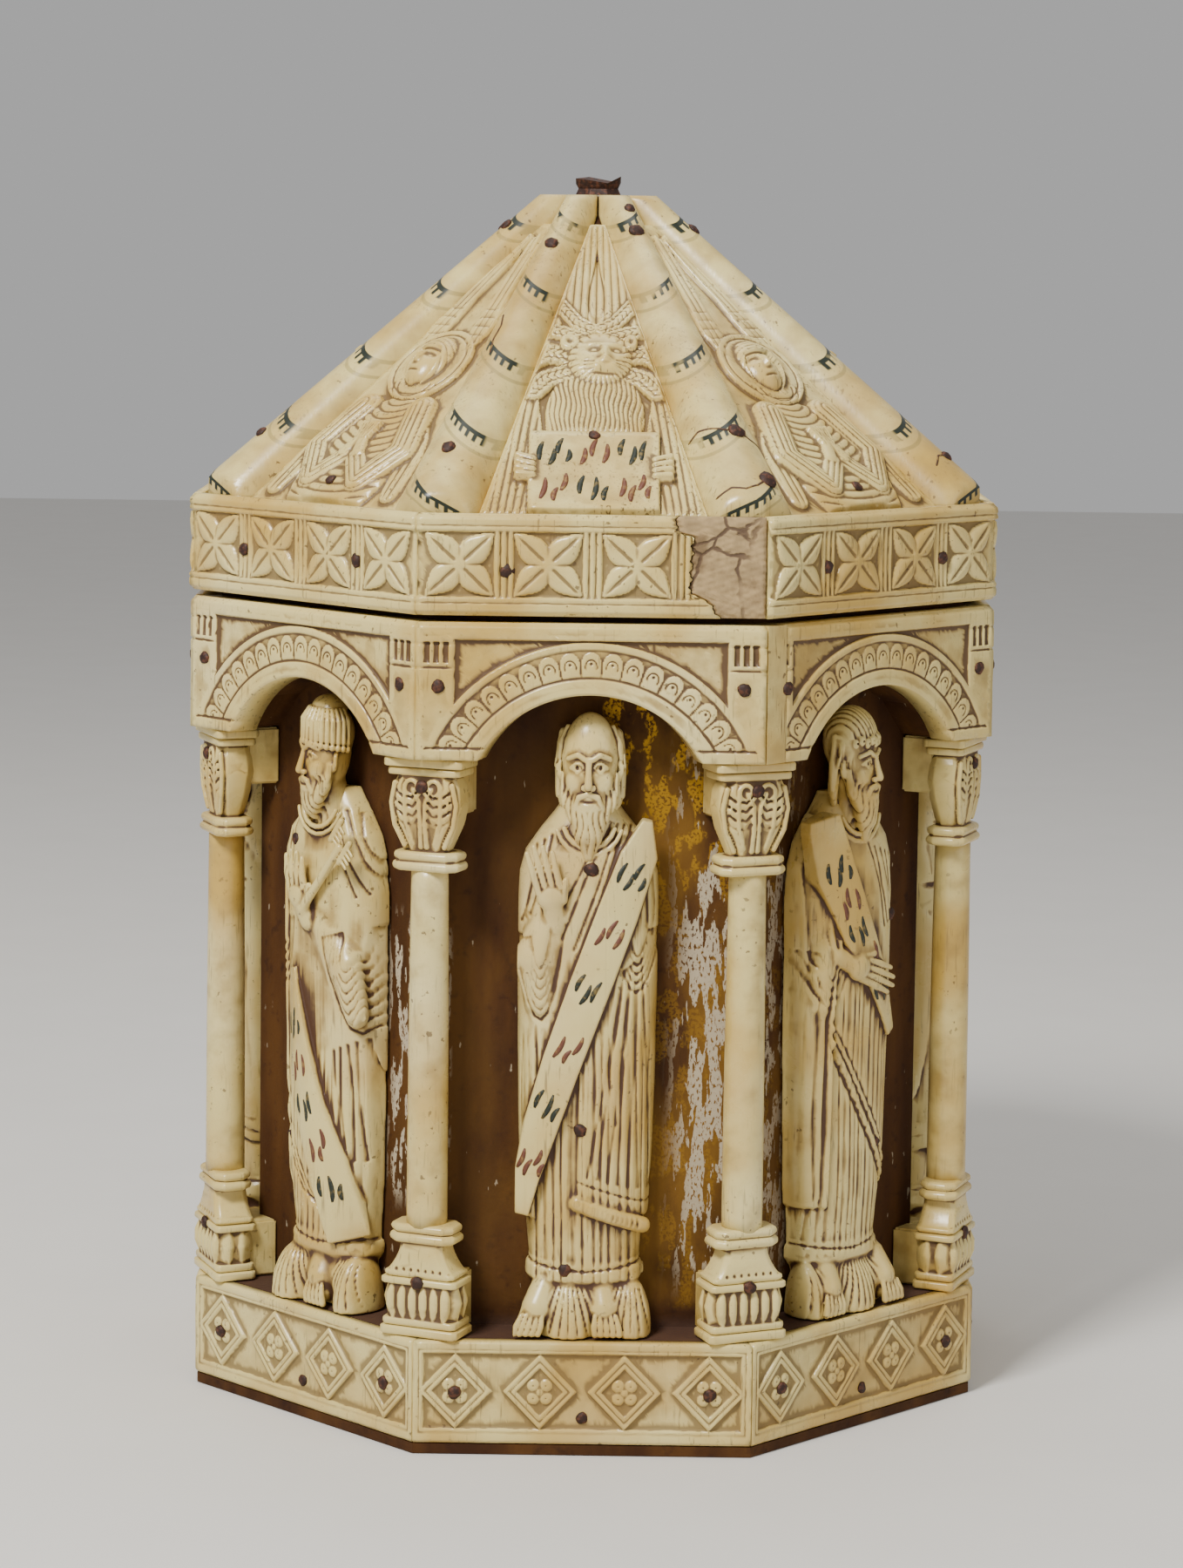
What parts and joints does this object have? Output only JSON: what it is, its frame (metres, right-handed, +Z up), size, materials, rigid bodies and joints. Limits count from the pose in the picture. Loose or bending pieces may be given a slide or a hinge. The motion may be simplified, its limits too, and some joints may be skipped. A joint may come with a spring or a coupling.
{
  "type": "reliquary",
  "caption": "Eight-sided tower reliquary: a hollow wooden box and lift-off lid faced with carved bone columns, figures and plaques.",
  "frame": {"origin": "under the middle of the base, on the surface it stands on", "axes": "+Z up, the front side faces -Y, +X to the right seen from the front"},
  "size_m": [0.1942, 0.1942, 0.2959],
  "materials": {
    "bone": "carved and polished bone and walrus ivory, yellowed, brown in the hollows",
    "wood": "dark stained oak, with worn gilding and white ground in the niches",
    "iron": "rust brown, broken"
  },
  "bodies": {
    "root": {"core_box": "wood", "lid_core": "wood", "finial_stub": "iron", "corner_strip": "bone", "base_plaque_front": "bone", "figure_front": "bone", "arch_plaque_front": "bone", "lid_plaque_front": "bone", "roof_panel_front": "bone", "base_plaque_front_right": "bone", "figure_front_right": "bone", "arch_plaque_front_right": "bone", "lid_plaque_front_right": "bone", "roof_panel_front_right": "bone", "base_plaque_right": "bone", "figure_right": "bone", "arch_plaque_right": "bone", "lid_plaque_right": "bone", "roof_panel_right": "bone", "base_plaque_back_right": "bone", "figure_back_right": "bone", "arch_plaque_back_right": "bone", "lid_plaque_back_right": "bone", "roof_panel_back_right": "bone", "base_plaque_back": "bone", "figure_back": "bone", "arch_plaque_back": "bone", "lid_plaque_back": "bone", "roof_panel_back": "bone", "base_plaque_back_left": "bone", "figure_back_left": "bone", "arch_plaque_back_left": "bone", "lid_plaque_back_left": "bone", "roof_panel_back_left": "bone", "base_plaque_left": "bone", "figure_left": "bone", "arch_plaque_left": "bone", "lid_plaque_left": "bone", "roof_panel_left": "bone", "base_plaque_front_left": "bone", "figure_front_left": "bone", "arch_plaque_front_left": "bone", "lid_plaque_front_left": "bone", "roof_panel_front_left": "bone", "column_1": "bone", "roof_rib_1": "bone", "column_2": "bone", "roof_rib_2": "bone", "column_3": "bone", "roof_rib_3": "bone", "column_4": "bone", "roof_rib_4": "bone", "column_5": "bone", "roof_rib_5": "bone", "column_6": "bone", "roof_rib_6": "bone", "column_7": "bone", "roof_rib_7": "bone", "column_8": "bone", "roof_rib_8": "bone"}
  },
  "joints": []
}
